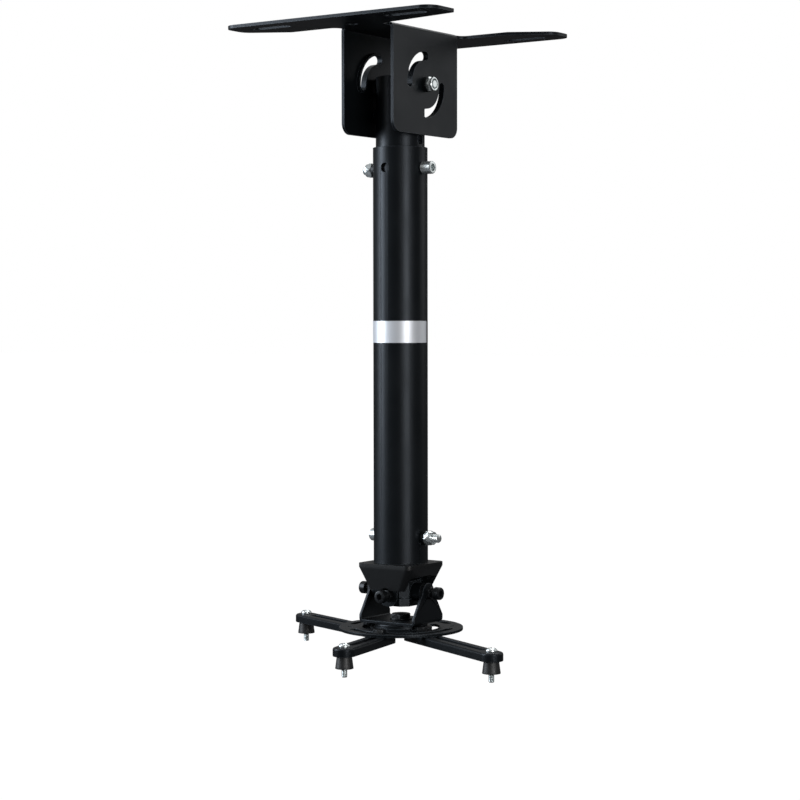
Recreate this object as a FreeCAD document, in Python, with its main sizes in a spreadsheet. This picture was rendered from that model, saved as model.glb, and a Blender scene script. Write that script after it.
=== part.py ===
import FreeCAD, Part
import operator
import os
import types

import Sketcher

Vector = FreeCAD.Vector
Rotation = FreeCAD.Rotation
doc = FreeCAD.newDocument("projector_mount")

# Driving dimensions in millimetres and degrees. Drops are depths below the
# ceiling plane, which is z = 0; the mount hangs along -Z and its pivot bolt
# lies along X.
SIZES = [
    ("plate_thk", 2.2, "sheet of the ceiling plate"),
    ("wing_reach", 88, "half length of a wing, along X"),
    ("plate_half_y", 91, "half width of the ceiling plate, along Y"),
    ("wing_width", 41, "width of a wing at the web"),
    ("wing_cut_len", 29.5, "slanting cut at one end of a wing, along X"),
    ("wing_cut_wide", 17, "slanting cut at one end of a wing, along Y"),
    ("wing_tip_width", 29, "width of a wing's tapered end"),
    ("wing_tip_corner", 3.5, "inner corner radius of a wing's tapered end"),
    ("wing_corner", 10, "corner radius of a wing"),
    ("notch_corner", 6, "hollow where a wing meets the web"),
    ("cheek_face", 22.2, "outer face of a cheek from the middle"),
    ("cheek_half_y", 40, "half width of a cheek"),
    ("cheek_drop", 75, "lower edge of the cheeks"),
    ("cheek_corner", 8, "lower corner radius of a cheek"),
    ("cheek_bend", 1, "inner bend radius of the cheeks"),
    ("bend_relief", 3.4, "depth of the relief beside a bend"),
    ("ceiling_slot_x", 57, "middle of a ceiling slot along X"),
    ("ceiling_slot_y", 76, "middle of a ceiling slot along Y"),
    ("ceiling_slot_len", 34, "length of a ceiling slot, ends included"),
    ("ceiling_slot_wide", 7.5, "width of a ceiling slot"),
    ("web_hole_y", 58, "place of a locating hole in the web"),
    ("web_hole_dia", 8, "locating hole"),
    ("pivot_drop", 39.6, "pivot bolt below the ceiling"),
    ("arc_slot_rad", 20, "radius of the cheeks' arc slots"),
    ("arc_slot_wide", 6.2, "width of the cheeks' arc slots"),
    ("arc_rim_thk", 1.6, "wall of the rim drawn round an arc slot"),
    ("arc_rim_high", 2.2, "rim drawn inwards round an arc slot"),
    ("pivot_dia", 6, "pivot bolt"),
    ("pivot_across", 10, "across flats of the pivot head and nut"),
    ("pivot_head", 4, "height of the pivot bolt's head"),
    ("pivot_nut_high", 4.4, "height of the lock nut on the pivot"),
    ("pivot_collar", 1.8, "round collar of the lock nut"),
    ("pivot_tip", 0.2, "pivot bolt end beyond its nut"),
    ("pivot_washer_dia", 10.6, "thick washer outside a cheek"),
    ("pivot_spacer_dia", 13, "spacer inside a cheek"),
    ("pivot_washer_thk", 3, "thick washer outside a cheek"),
    ("inner_dia", 34.8, "outer diameter of the inner tube"),
    ("inner_wall", 1.4, "wall of the inner tube"),
    ("inner_head", 6.4, "inner tube above the pivot"),
    ("inner_tail", 12, "inner tube below its last hole"),
    ("step_first", 18.4, "first height hole below the pivot"),
    ("step_pitch", 20, "pitch of the height holes"),
    ("step_count", 15, "number of height holes"),
    ("step_dia", 6.6, "height hole"),
    ("step_in_use", 3, "height hole that takes the bolt"),
    ("outer_dia", 38.9, "outer diameter of the outer tube"),
    ("outer_wall", 1.75, "wall of the outer tube"),
    ("outer_head", 15, "outer tube above the height bolt"),
    ("pole_bolt_dia", 6, "bolts across the pole"),
    ("pole_cap_dia", 9, "cap of a pole bolt"),
    ("pole_cap_high", 5.5, "cap of a pole bolt"),
    ("pole_socket_across", 5, "hexagon socket of a pole bolt"),
    ("pole_nut_high", 5.8, "lock nut of a pole bolt"),
    ("pole_washer_dia", 10, "thick washer of a pole bolt"),
    ("pole_washer_thk", 3.2, "thick washer of a pole bolt"),
    ("bolt_dia", 5, "tilt screws and arm clamps"),
    ("cap_dia", 9, "socket cap"),
    ("cap_high", 5, "socket cap"),
    ("socket_across", 4, "hexagon socket"),
    ("socket_deep", 2.5, "hexagon socket"),
    ("nut_across", 8, "across flats of the small nuts"),
    ("jam_high", 3, "height of a jam nut"),
    ("washer_dia", 10, "small washer"),
    ("washer_thk", 1, "small washer"),
    ("height_standoff", 3.05, "height bolt's cap from the tube"),
    ("height_tip", 2.65, "height bolt beyond its nut"),
    ("lower_standoff", 0.3, "lower bolt's cap from the tube"),
    ("lower_tip", 5.05, "lower bolt beyond its nut"),
    ("lower_bolt_rise", 18.5, "lower bolt above the collar"),
    ("tilt_drop", 399, "roll axis below the ceiling"),
    ("pitch_fall", 2, "pitch axis below the roll axis"),
    ("collar_rise", 20.5, "top of the collar above the tilt axes"),
    ("collar_high", 18.5, "height of the collar"),
    ("collar_top_x", 23, "half width of the collar's top along X"),
    ("collar_rim", 2.6, "upright rim of the collar"),
    ("collar_top_y", 22.4, "half width of the collar's top along Y"),
    ("collar_low_x", 15.2, "half width of the collar's foot along X"),
    ("collar_low_y", 19.6, "half width of the collar's foot along Y"),
    ("collar_corner", 4.5, "corner radius of the collar"),
    ("collar_roof", 3.5, "collar above its cavity"),
    ("skirt_high", 10.5, "height of the collar's X faces"),
    ("skirt_arch", 1.5, "arch in the lower edge of those faces"),
    ("cavity_half_x", 13.2, "half width of the collar's cavity"),
    ("tongue_arch", 5.6, "arch over a tilt screw in a tongue"),
    ("spigot_len", 26, "collar's spigot inside the outer tube"),
    ("spigot_wall", 4, "wall of the spigot"),
    ("yoke_thk", 2.5, "sheet of the upper yoke"),
    ("yoke_half_x", 8, "half width of the upper yoke"),
    ("yoke_bend", 1, "inner bend radius of both yokes"),
    ("yoke_bolt_dia", 6, "bolt that holds the upper yoke"),
    ("yoke_button_dia", 10.4, "button head of that bolt"),
    ("yoke_button_high", 2.8, "button head of that bolt"),
    ("block_half", 12, "half width of the cross block"),
    ("block_rise", 8, "cross block above the tilt axes"),
    ("block_fall", 10, "cross block below the tilt axes"),
    ("block_corner", 5, "chamfer of the cross block's corners"),
    ("block_groove_fall", 4, "groove of the block below the axes"),
    ("block_groove_wide", 1, "groove of the block"),
    ("block_groove_rad", 11.2, "groove of the block"),
    ("trunnion_dia", 13, "round boss of the cross block"),
    ("friction_dia", 13, "friction washer at a tilt axis"),
    ("friction_thk", 1.5, "friction washer at a tilt axis"),
    ("tilt_bite", 10, "tilt screw inside the block"),
    ("tilt_cap_x", 29.5, "underside of a cap on the X axis"),
    ("tilt_cap_y", 22, "underside of a cap on the Y axis"),
    ("fork_face", 24, "outer face of a fork ear"),
    ("fork_thk", 2, "sheet of the lower fork"),
    ("fork_half_y", 18, "half width of the fork's web"),
    ("fork_fall", 22.5, "underside of the fork's web below the axes"),
    ("fork_ear_rad", 7, "round top of a fork ear"),
    ("fork_shoulder", 5.5, "straight foot of a fork ear"),
    ("swivel_dia", 8, "swivel bolt"),
    ("swivel_head_dia", 18, "flat head of the swivel bolt"),
    ("swivel_head_thk", 2.4, "flat head of the swivel bolt"),
    ("swivel_across", 13, "across flats of the swivel nut"),
    ("swivel_nut_high", 3.2, "swivel nut"),
    ("swivel_tip", 0.4, "swivel bolt above its nut"),
    ("swivel_washer_dia", 16, "washer under the swivel nut"),
    ("swivel_washer_thk", 1, "washer under the swivel nut"),
    ("disc_rad", 44.5, "swivel disc"),
    ("disc_thk", 2.2, "sheet of the swivel disc"),
    ("hub_rad", 19, "raised hub of the disc"),
    ("hub_high", 3.2, "hub above the disc"),
    ("hub_round", 1.2, "rounding of the hub"),
    ("disc_turn_deg", -54, "middle of the first outer arc slot"),
    ("outer_arc_rad", 36.5, "outer arc slots"),
    ("outer_arc_sweep_deg", 136, "outer arc slots, end centre to end centre"),
    ("inner_arc_rad", 25, "inner arc slots"),
    ("inner_arc_sweep_deg", 92, "inner arc slots, end centre to end centre"),
    ("inner_arc_turn_deg", 12, "middle of the first inner arc slot"),
    ("disc_slot_wide", 5.4, "width of the disc's and arms' slots"),
    ("pilot_dia", 3.4, "pilot hole between two outer slots"),
    ("arm_wide", 16, "width of an arm"),
    ("arm_high", 6, "height of an arm's channel"),
    ("arm_thk", 1.8, "sheet of an arm"),
    ("arm_round", 1.6, "rounding of an arm's upper edge"),
    ("arm_spare", 8, "slot behind the clamp bolt"),
    ("arm_land", 12, "sheet between slot and end hole"),
    ("clamp_nut_high", 2.7, "thin nut of an arm's clamp"),
    ("clamp_head_dia", 9, "head of an arm's clamp bolt"),
    ("clamp_head_high", 2.8, "head of an arm's clamp bolt"),
    ("screw_dia", 4, "screw into the projector"),
    ("screw_neck_dia", 3.4, "plain neck of that screw above its thread"),
    ("screw_head_dia", 7.8, "pan head of that screw"),
    ("screw_head_high", 2.6, "pan head of that screw"),
    ("screw_reach", 6, "screw below its spacer"),
    ("spacer_neck_dia", 10.4, "spacer inside the arm"),
    ("spacer_foot_dia", 12.6, "foot of the spacer"),
    ("spacer_drop", 8.5, "spacer below the arm"),
    ("right_clamp_turn_deg", -21, "clamp of the right arm round the axis"),
    ("right_arm_turn_deg", -26.3, "direction of the right arm"),
    ("right_arm_len", 96, "right arm from clamp to end hole"),
    ("left_clamp_turn_deg", 190, "clamp of the left arm round the axis"),
    ("left_arm_turn_deg", 159.4, "direction of the left arm"),
    ("left_arm_len", 86.3, "left arm from clamp to end hole"),
    ("front_clamp_turn_deg", -79.7, "clamp of the front arm round the axis"),
    ("front_arm_turn_deg", -79.7, "direction of the front arm"),
    ("front_arm_len", 55.7, "front arm from clamp to end hole"),
    ("tube_gap", 0.3, "radial play of what slides in the outer tube"),
    ("bolt_gap", 0.3, "radial play of a bolt in a hole"),
    ("pin_gap", 0.08, "radial play of a turning pin"),
    ("thread_gap", 0.02, "radial play in a thread"),
    ("seat_gap", 0.3, "play of the upper yoke in the collar"),
]

sheet = doc.addObject("Spreadsheet::Sheet", "sizes")
for row, (alias, number, note) in enumerate(SIZES, start=1):
    sheet.set("A%d" % row, alias)
    sheet.set("B%d" % row, str(number))
    sheet.set("C%d" % row, note)
    sheet.setAlias("B%d" % row, alias)
doc.recompute()


class Size:
    """A number together with the sheet expression that gives it."""

    def __init__(self, text, value):
        self.text = text
        self.value = value

    def __add__(self, other):
        return joined(self, "+", other)

    def __radd__(self, other):
        return joined(other, "+", self)

    def __sub__(self, other):
        return joined(self, "-", other)

    def __rsub__(self, other):
        return joined(other, "-", self)

    def __mul__(self, other):
        return joined(self, "*", other)

    def __rmul__(self, other):
        return joined(other, "*", self)

    def __truediv__(self, other):
        return joined(self, "/", other)

    def __neg__(self):
        return joined(-1, "*", self)


SIGNS = {"+": operator.add, "-": operator.sub, "*": operator.mul, "/": operator.truediv}


def as_size(number):
    """A plain number as a Size, so that both kinds mix."""
    return number if isinstance(number, Size) else Size(repr(number), number)


def joined(left, sign, right):
    """The Size of two numbers or Sizes with a sign between them."""
    left = as_size(left)
    right = as_size(right)
    text = "(%s %s %s)" % (left.text, sign, right.text)
    return Size(text, SIGNS[sign](left.value, right.value))


def smaller(one, other):
    """The smaller of two Sizes, for a fillet that its wall limits."""
    one = as_size(one)
    other = as_size(other)
    return Size("min(%s; %s)" % (one.text, other.text), min(one.value, other.value))


def bind(obj, prop, number):
    """Ties one property of a document object to the sheet."""
    obj.setExpression(prop, as_size(number).text)


def place(obj, x=0, y=0, z=0, rotation=Rotation()):
    """Puts an object at a bound place, turned by a fixed rotation."""
    obj.Placement = FreeCAD.Placement(Vector(), rotation)
    for key, number in zip("xyz", (x, y, z)):
        bind(obj, ".Placement.Base." + key, number)
    return obj


def place_polar(obj, radius, turn, z, heading=0, reach=0):
    """Puts an object on a circle round Z, or at a reach from there along its heading."""
    words = (as_size(radius).text, as_size(turn).text, as_size(reach).text, as_size(heading).text)
    obj.setExpression(".Placement.Base.x", "%s * cos(%s * 1deg) + %s * cos(%s * 1deg)" % words)
    obj.setExpression(".Placement.Base.y", "%s * sin(%s * 1deg) + %s * sin(%s * 1deg)" % words)
    bind(obj, ".Placement.Base.z", z)
    bind(obj, ".Placement.Rotation.Angle", heading)
    return obj


TO_RIGHT = Rotation(Vector(0, 1, 0), 90)
TO_LEFT = Rotation(Vector(0, 1, 0), -90)
TO_BACK = Rotation(Vector(1, 0, 0), -90)
TO_FRONT = Rotation(Vector(1, 0, 0), 90)
TO_FLOOR = Rotation(Vector(1, 0, 0), 180)

CROSSING = 400  # longer than any wall that a tool has to pass

s = types.SimpleNamespace(
    **{alias: Size("sizes." + alias, number) for alias, number, note in SIZES})
sub_parts = []


def new_body(label):
    """A body that becomes one sub-part."""
    body = doc.addObject("PartDesign::Body", label)
    body.Label = label
    return body


def finished(obj, label):
    """Lists an object as a sub-part under its label."""
    obj.Label = label
    sub_parts.append(obj)
    return obj


def origin_feature(body, role):
    """An origin plane or axis of a body."""
    return [item for item in body.Origin.OriginFeatures if item.Role == role][0]


def sketch_on(body, role, lift=0):
    """An empty sketch on one of the body's origin planes, or lifted off it."""
    sketch = body.newObject("Sketcher::SketchObject", "profile")
    sketch.AttachmentSupport = [(origin_feature(body, role), "")]
    sketch.MapMode = "FlatFace"
    bind(sketch, ".AttachmentOffset.Base.z", lift)
    return sketch


def hold(sketch, kind, number, *where):
    """Adds one measured constraint that follows the sheet."""
    number = as_size(number)
    index = sketch.addConstraint(Sketcher.Constraint(kind, *where, number.value))
    sketch.setExpression("Constraints[%d]" % index, number.text)


def pin_point(sketch, geometry, point, x, y):
    """Fixes a point of a sketch by its two coordinates."""
    hold(sketch, "DistanceX", x, -1, 1, geometry, point)
    hold(sketch, "DistanceY", y, -1, 1, geometry, point)


def polygon(sketch, corners):
    """Draws a closed outline of straight lines."""
    first = sketch.GeometryCount
    count = len(corners)
    spots = [Vector(as_size(x).value, as_size(y).value, 0) for x, y in corners]
    for index in range(count):
        sketch.addGeometry(Part.LineSegment(spots[index], spots[(index + 1) % count]))
    for index in range(count):
        following = first + (index + 1) % count
        sketch.addConstraint(Sketcher.Constraint("Coincident", first + index, 2, following, 1))
    for index, (x, y) in enumerate(corners):
        pin_point(sketch, first + index, 1, x, y)
    return sketch


def rectangle(sketch, x0, x1, y0, y1):
    """Draws an upright rectangle between two corners."""
    return polygon(sketch, [(x0, y0), (x1, y0), (x1, y1), (x0, y1)])


def hexagon(sketch, across):
    """Draws a hexagon round the sketch's origin."""
    corner = across / 3 ** 0.5
    flat = across / 2
    return polygon(sketch, [(corner, 0), (corner / 2, flat), (-corner / 2, flat),
                            (-corner, 0), (-corner / 2, -flat), (corner / 2, -flat)])


def circle(sketch, diameter, x=0, y=0):
    """Draws a circle."""
    middle = Vector(as_size(x).value, as_size(y).value, 0)
    radius = as_size(diameter / 2)
    index = sketch.addGeometry(Part.Circle(middle, Vector(0, 0, 1), radius.value))
    hold(sketch, "Radius", radius, index)
    pin_point(sketch, index, 3, x, y)
    return sketch


def stadium(sketch, x0, x1, y, radius):
    """Draws a slot along the sketch's X axis between two end centres."""
    left = Vector(as_size(x0).value, as_size(y).value, 0)
    right = Vector(as_size(x1).value, as_size(y).value, 0)
    side = Vector(0, as_size(radius).value, 0)
    outward = Vector(as_size(radius).value, 0, 0)
    low = sketch.addGeometry(Part.LineSegment(left - side, right - side))
    end = sketch.addGeometry(Part.Arc(right - side, right + outward, right + side))
    high = sketch.addGeometry(Part.LineSegment(right + side, left + side))
    start = sketch.addGeometry(Part.Arc(left + side, left - outward, left - side))
    for before, after in ((low, end), (end, high), (high, start), (start, low)):
        sketch.addConstraint(Sketcher.Constraint("Tangent", before, 2, after, 1))
    sketch.addConstraint(Sketcher.Constraint("Equal", start, end))
    hold(sketch, "Radius", radius, start)
    pin_point(sketch, start, 3, x0, y)
    pin_point(sketch, end, 3, x1, y)
    return sketch


def pad(body, sketch, length, both=False, down=False):
    """Raises a sketch to a solid."""
    feature = body.newObject("PartDesign::Pad", "pad")
    feature.Profile = sketch
    bind(feature, "Length", length)
    feature.SideType = "Symmetric" if both else "One side"
    feature.Reversed = down
    doc.recompute()
    return feature


def pocket(body, sketch, depth=None):
    """Cuts a sketch into the body, right through both ways with no depth."""
    before = body.Shape.Volume
    feature = body.newObject("PartDesign::Pocket", "pocket")
    feature.Profile = sketch
    if depth is None:
        feature.Type = "ThroughAll"
        feature.SideType = "Symmetric"
    else:
        bind(feature, "Length", depth)
    doc.recompute()
    if body.Shape.Volume >= before:
        raise RuntimeError("a pocket of %s cut nothing" % body.Label)
    return feature


def turned(body, corners, cut=False):
    """Turns an outline of radius and height round the body's Z axis."""
    sketch = polygon(sketch_on(body, "XZ_Plane"), corners)
    kind = "PartDesign::Groove" if cut else "PartDesign::Revolution"
    feature = body.newObject(kind, "turned")
    feature.Profile = sketch
    feature.ReferenceAxis = (sketch, ["V_Axis"])
    doc.recompute()
    return feature


def rounded(body, wanted, radius, kind="Fillet"):
    """Fillets or chamfers the edges that a test picks out."""
    base = body.Tip
    names = ["Edge%d" % number
             for number, edge in enumerate(base.Shape.Edges, start=1) if wanted(edge)]
    if not names:
        raise RuntimeError("no edge to round on %s" % body.Label)
    feature = body.newObject("PartDesign::" + kind, "edge")
    feature.Base = (base, names)
    bind(feature, "Radius" if kind == "Fillet" else "Size", radius)
    doc.recompute()
    return feature


def near(value, number):
    """True where a measured coordinate is a given size."""
    return abs(value - as_size(number).value) < 0.01


def runs_along(edge, axis):
    """True for a straight edge along X, Y or Z."""
    box = edge.BoundBox
    spans = {"X": box.XLength, "Y": box.YLength, "Z": box.ZLength}
    along = spans.pop(axis)
    return along > 0.01 and max(spans.values()) < 0.01


def compound(label, pieces):
    """Several equal pieces as one sub-part."""
    group = doc.addObject("Part::Compound", label)
    group.Links = pieces
    return finished(group, label)


def arc_slot(radius, width, start, span):
    """A tool for a curved slot, as a ring sector with two round ends."""
    sector = doc.addObject("Part::Cylinder", "sector")
    bind(sector, "Radius", radius + width / 2)
    sector.Height = CROSSING
    bind(sector, "Angle", span)
    bind(sector, ".Placement.Rotation.Angle", start)
    core = doc.addObject("Part::Cylinder", "core")
    bind(core, "Radius", radius - width / 2)
    core.Height = CROSSING
    ring = doc.addObject("Part::Cut", "ring")
    ring.Base = sector
    ring.Tool = core
    tools = [ring]
    for turn in (as_size(start), start + span):
        end = doc.addObject("Part::Cylinder", "slot_end")
        bind(end, "Radius", width / 2)
        end.Height = CROSSING
        tools.append(place_polar(end, radius, turn, 0))
    slot = doc.addObject("Part::MultiFuse", "arc_slot")
    slot.Shapes = tools
    return slot


def grouped(tools):
    """Several tools as one."""
    group = doc.addObject("Part::Compound", "tools")
    group.Links = tools
    return group


def cut_with(base, tools, label):
    """Cuts all the tools out of a solid in one step."""
    result = doc.addObject("Part::Cut", label)
    result.Base = base
    result.Tool = grouped(tools)
    result.Refine = True
    doc.recompute()
    if result.Shape.Volume >= base.Shape.Volume:
        raise RuntimeError("nothing was cut from " + label)
    return finished(result, label)


def ring_body(label, outside, inside, height):
    """A plain washer, lying on z = 0."""
    body = new_body(label)
    turned(body, [(inside / 2, 0), (outside / 2, 0), (outside / 2, height), (inside / 2, height)])
    return body


def nut_body(label, across, height, thread, collar=None):
    """A hexagon nut on z = 0 with its upper corners turned off."""
    body = new_body(label)
    hexed = height if collar is None else height - collar
    pad(body, hexagon(sketch_on(body, "XY_Plane"), across), hexed)
    slope = across * 0.28
    turned(body, [(across / 2 - 0.2, hexed), (across, hexed), (across, hexed - slope)], cut=True)
    if collar is not None:
        low = hexed - collar / 2
        wide = across / 2 - 0.3
        turned(body, [(0, low), (wide, low), (wide, height - 0.5), (wide - 0.5, height), (0, height)])
    pocket(body, circle(sketch_on(body, "XY_Plane"), thread + 2 * s.thread_gap))
    return body


def cap_screw(label, thread, length, head, high, across, deep):
    """A socket cap screw, its shank below z = 0 and its head above."""
    body = new_body(label)
    shank = thread / 2
    bevel = 0.5
    turned(body, [(0, -length), (shank - bevel, -length), (shank, -length + bevel), (shank, 0),
                  (head / 2, 0), (head / 2, high - bevel), (head / 2 - bevel, high), (0, high)])
    pocket(body, hexagon(sketch_on(body, "XY_Plane", high), across), deep)
    return body


# Ceiling plate: one sheet, two wings joined by a web, with two cheeks folded
# down for the pole. A wing has one tapered end and one with a slanting cut,
# and the plate is the same after half a turn. Each cheek has two arc slots
# round the pivot, their rims drawn inwards.
plate = new_body("plate_blank")
wing_inner = s.plate_half_y - s.wing_width
wing_cut_foot = s.wing_reach - s.wing_cut_len
wing_cut_top = wing_inner + s.wing_cut_wide
web_side = s.cheek_face - s.bend_relief
wing_tip_inner = s.plate_half_y - s.wing_tip_width
notch_wall = (wing_inner - s.cheek_half_y) * 0.8
one_side = [(s.wing_reach, -s.plate_half_y), (s.wing_reach, -wing_tip_inner), (web_side, -wing_inner),
            (web_side, -s.cheek_half_y), (s.cheek_face, -s.cheek_half_y), (s.cheek_face, s.cheek_half_y),
            (web_side, s.cheek_half_y), (web_side, wing_inner), (wing_cut_foot, wing_inner),
            (s.wing_reach, wing_cut_top), (s.wing_reach, s.plate_half_y)]
outline = one_side + [(-x, -y) for x, y in one_side]
pad(plate, polygon(sketch_on(plate, "XY_Plane"), outline), s.plate_thk, down=True)
cheek_inner = s.cheek_face - s.plate_thk
cheek_sketch = sketch_on(plate, "XZ_Plane")
rectangle(cheek_sketch, cheek_inner, s.cheek_face, -s.cheek_drop, -s.plate_thk / 2)
rectangle(cheek_sketch, -s.cheek_face, -cheek_inner, -s.cheek_drop, -s.plate_thk / 2)
pad(plate, cheek_sketch, 2 * s.cheek_half_y, both=True)
rounded(plate, lambda e: runs_along(e, "Y") and near(abs(e.BoundBox.XMin), s.cheek_face)
        and near(e.BoundBox.ZMin, 0), s.cheek_bend + s.plate_thk)
rounded(plate, lambda e: runs_along(e, "Y") and near(abs(e.BoundBox.XMin), cheek_inner)
        and near(e.BoundBox.ZMin, -s.plate_thk), s.cheek_bend)
rounded(plate, lambda e: runs_along(e, "Z") and near(abs(e.BoundBox.XMin), s.wing_reach)
        and not near(abs(e.BoundBox.YMin), wing_tip_inner), s.wing_corner)
rounded(plate, lambda e: runs_along(e, "Z") and near(abs(e.BoundBox.XMin), s.wing_reach)
        and near(abs(e.BoundBox.YMin), wing_tip_inner), s.wing_tip_corner)
rounded(plate, lambda e: runs_along(e, "Z") and near(abs(e.BoundBox.XMin), web_side)
        and near(abs(e.BoundBox.YMin), wing_inner), smaller(s.notch_corner, notch_wall))
rounded(plate, lambda e: runs_along(e, "X") and near(abs(e.BoundBox.YMin), s.cheek_half_y)
        and near(e.BoundBox.ZMin, -s.cheek_drop), s.cheek_corner)
slot_sketch = sketch_on(plate, "XY_Plane")
slot_half = (s.ceiling_slot_len - s.ceiling_slot_wide) / 2
for side in (-1, 1):
    for end in (-1, 1):
        stadium(slot_sketch, end * s.ceiling_slot_x - slot_half, end * s.ceiling_slot_x + slot_half,
                side * s.ceiling_slot_y, s.ceiling_slot_wide / 2)
    circle(slot_sketch, s.web_hole_dia, 0, side * s.web_hole_y)
pocket(plate, slot_sketch)
pocket(plate, circle(sketch_on(plate, "YZ_Plane"), s.pivot_dia + 2 * s.bolt_gap, 0, -s.pivot_drop))
arc_tools = []
rim_tools = []
for start in (0, 180):
    arc_tools.append(arc_slot(s.arc_slot_rad, s.arc_slot_wide, start, as_size(90)))
    rim_tools.append(arc_slot(s.arc_slot_rad, s.arc_slot_wide + 2 * s.arc_rim_thk, start, as_size(90)))
for tool in arc_tools + rim_tools:
    place(tool, -CROSSING / 2, 0, -s.pivot_drop, TO_RIGHT)
layers = []
for low in (cheek_inner - s.arc_rim_high, -cheek_inner - s.plate_thk / 2):
    layer = doc.addObject("Part::Box", "rim_layer")
    bind(layer, "Length", s.arc_rim_high + s.plate_thk / 2)
    bind(layer, "Width", 2 * s.cheek_half_y)
    bind(layer, "Height", s.cheek_drop)
    layers.append(place(layer, low, -s.cheek_half_y, -s.cheek_drop))
rims = doc.addObject("Part::Common", "slot_rims")
rims.Base = grouped(rim_tools)
rims.Tool = grouped(layers)
rimmed = doc.addObject("Part::Fuse", "rimmed_plate")
rimmed.Base = plate
rimmed.Tool = rims
rimmed.Refine = True
doc.recompute()
cut_with(rimmed, arc_tools, "ceiling_plate")

# Pivot: a hexagon bolt through both cheeks, with a thick washer outside each
# cheek, a lock nut on the right and two thin spacers that centre the pole.
pivot_seat = s.cheek_face + s.pivot_washer_thk
pivot_bolt = new_body("pivot_bolt")
pad(pivot_bolt, hexagon(sketch_on(pivot_bolt, "XY_Plane"), s.pivot_across), s.pivot_head)
turned(pivot_bolt, [(s.pivot_across / 2 - 0.2, s.pivot_head), (s.pivot_across, s.pivot_head),
                    (s.pivot_across, s.pivot_head - s.pivot_across * 0.28)], cut=True)
pivot_length = 2 * pivot_seat + s.pivot_nut_high + s.pivot_tip
turned(pivot_bolt, [(0, -pivot_length), (s.pivot_dia / 2, -pivot_length), (s.pivot_dia / 2, 0), (0, 0)])
finished(place(pivot_bolt, -pivot_seat, 0, -s.pivot_drop, TO_LEFT), "pivot_bolt")
pivot_nut = nut_body("pivot_nut", s.pivot_across, s.pivot_nut_high, s.pivot_dia, s.pivot_collar)
finished(place(pivot_nut, pivot_seat, 0, -s.pivot_drop, TO_RIGHT), "pivot_nut")
pivot_hole = s.pivot_dia + 2 * s.bolt_gap
washers = [ring_body("pivot_washer", s.pivot_washer_dia, pivot_hole, s.pivot_washer_thk) for _ in "ab"]
place(washers[0], s.cheek_face, 0, -s.pivot_drop, TO_RIGHT)
place(washers[1], -s.cheek_face, 0, -s.pivot_drop, TO_LEFT)
compound("pivot_washers", washers)
spacer_thk = cheek_inner - s.inner_dia / 2 - s.bolt_gap / 3
spacers = [ring_body("pivot_spacer", s.pivot_spacer_dia, pivot_hole, spacer_thk) for _ in "ab"]
place(spacers[0], cheek_inner - spacer_thk, 0, -s.pivot_drop, TO_RIGHT)
place(spacers[1], spacer_thk - cheek_inner, 0, -s.pivot_drop, TO_LEFT)
compound("pivot_spacers", spacers)

# Inner tube: hangs on the pivot and carries a row of cross holes for the height.
inner_tube = new_body("inner_tube")
inner_top = s.inner_head - s.pivot_drop
first_z = -s.pivot_drop - s.step_first
inner_foot = first_z - s.step_pitch * (s.step_count - 1) - s.inner_tail
inner_bore = s.inner_dia / 2 - s.inner_wall
turned(inner_tube, [(inner_bore, inner_foot), (s.inner_dia / 2, inner_foot),
                    (s.inner_dia / 2, inner_top), (inner_bore, inner_top)])
pocket(inner_tube, circle(sketch_on(inner_tube, "YZ_Plane"), s.pivot_dia + 2 * s.pin_gap, 0, -s.pivot_drop))
first_step = pocket(inner_tube, circle(sketch_on(inner_tube, "YZ_Plane"), s.step_dia, 0, first_z))
steps = inner_tube.newObject("PartDesign::LinearPattern", "steps")
steps.Originals = [first_step]
steps.Direction = (origin_feature(inner_tube, "Z_Axis"), [""])
steps.Reversed = True
bind(steps, "Length", s.step_pitch * (s.step_count - 1))
bind(steps, "Occurrences", s.step_count)
inner_tube.Tip = steps
doc.recompute()
finished(inner_tube, "inner_tube")

# Outer tube: slides on the inner one, with cross holes both ways for the
# height bolt at its top and one pair for the bolt that holds the collar.
outer_tube = new_body("outer_tube")
height_z = first_z - s.step_pitch * (s.step_in_use - 1)
collar_top = s.collar_rise - s.tilt_drop
lower_z = collar_top + s.lower_bolt_rise
outer_side = s.outer_dia / 2
outer_bore = outer_side - s.outer_wall
outer_top = height_z + s.outer_head
turned(outer_tube, [(outer_bore, collar_top), (outer_side, collar_top),
                    (outer_side, outer_top), (outer_bore, outer_top)])
pole_hole = s.pole_bolt_dia + 2 * s.bolt_gap
cross_holes = sketch_on(outer_tube, "YZ_Plane")
circle(cross_holes, pole_hole, 0, height_z)
circle(cross_holes, pole_hole, 0, lower_z)
pocket(outer_tube, cross_holes)
pocket(outer_tube, circle(sketch_on(outer_tube, "XZ_Plane"), s.step_dia, 0, height_z))
finished(outer_tube, "outer_tube")

# Pole bolts: the height bolt's cap stands off on the right, the lower bolt's sits
# on the left. Both have an end beyond a lock nut on a thick washer.
nut_seat = outer_side + s.pole_washer_thk
beyond = nut_seat + s.pole_nut_high + outer_side
POLE_BOLTS = {
    "height": (s.height_standoff, s.height_tip, height_z, TO_RIGHT, TO_LEFT, 1),
    "lower": (s.lower_standoff, s.lower_tip, lower_z, TO_LEFT, TO_RIGHT, -1),
}
pole_nuts = []
pole_washers = []
for bolt_name, (standoff, end, level, cap_way, nut_way, side) in POLE_BOLTS.items():
    bolt = cap_screw(bolt_name + "_bolt", s.pole_bolt_dia, beyond + standoff + end, s.pole_cap_dia,
                     s.pole_cap_high, s.pole_socket_across, s.socket_deep)
    finished(place(bolt, side * (outer_side + standoff), 0, level, cap_way), bolt_name + "_bolt")
    nut = nut_body("pole_nut", s.pivot_across, s.pole_nut_high, s.pole_bolt_dia, s.pivot_collar)
    pole_nuts.append(place(nut, -side * nut_seat, 0, level, nut_way))
    washer = ring_body("pole_washer", s.pole_washer_dia, pole_hole, s.pole_washer_thk)
    pole_washers.append(place(washer, -side * outer_side, 0, level, nut_way))
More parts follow.
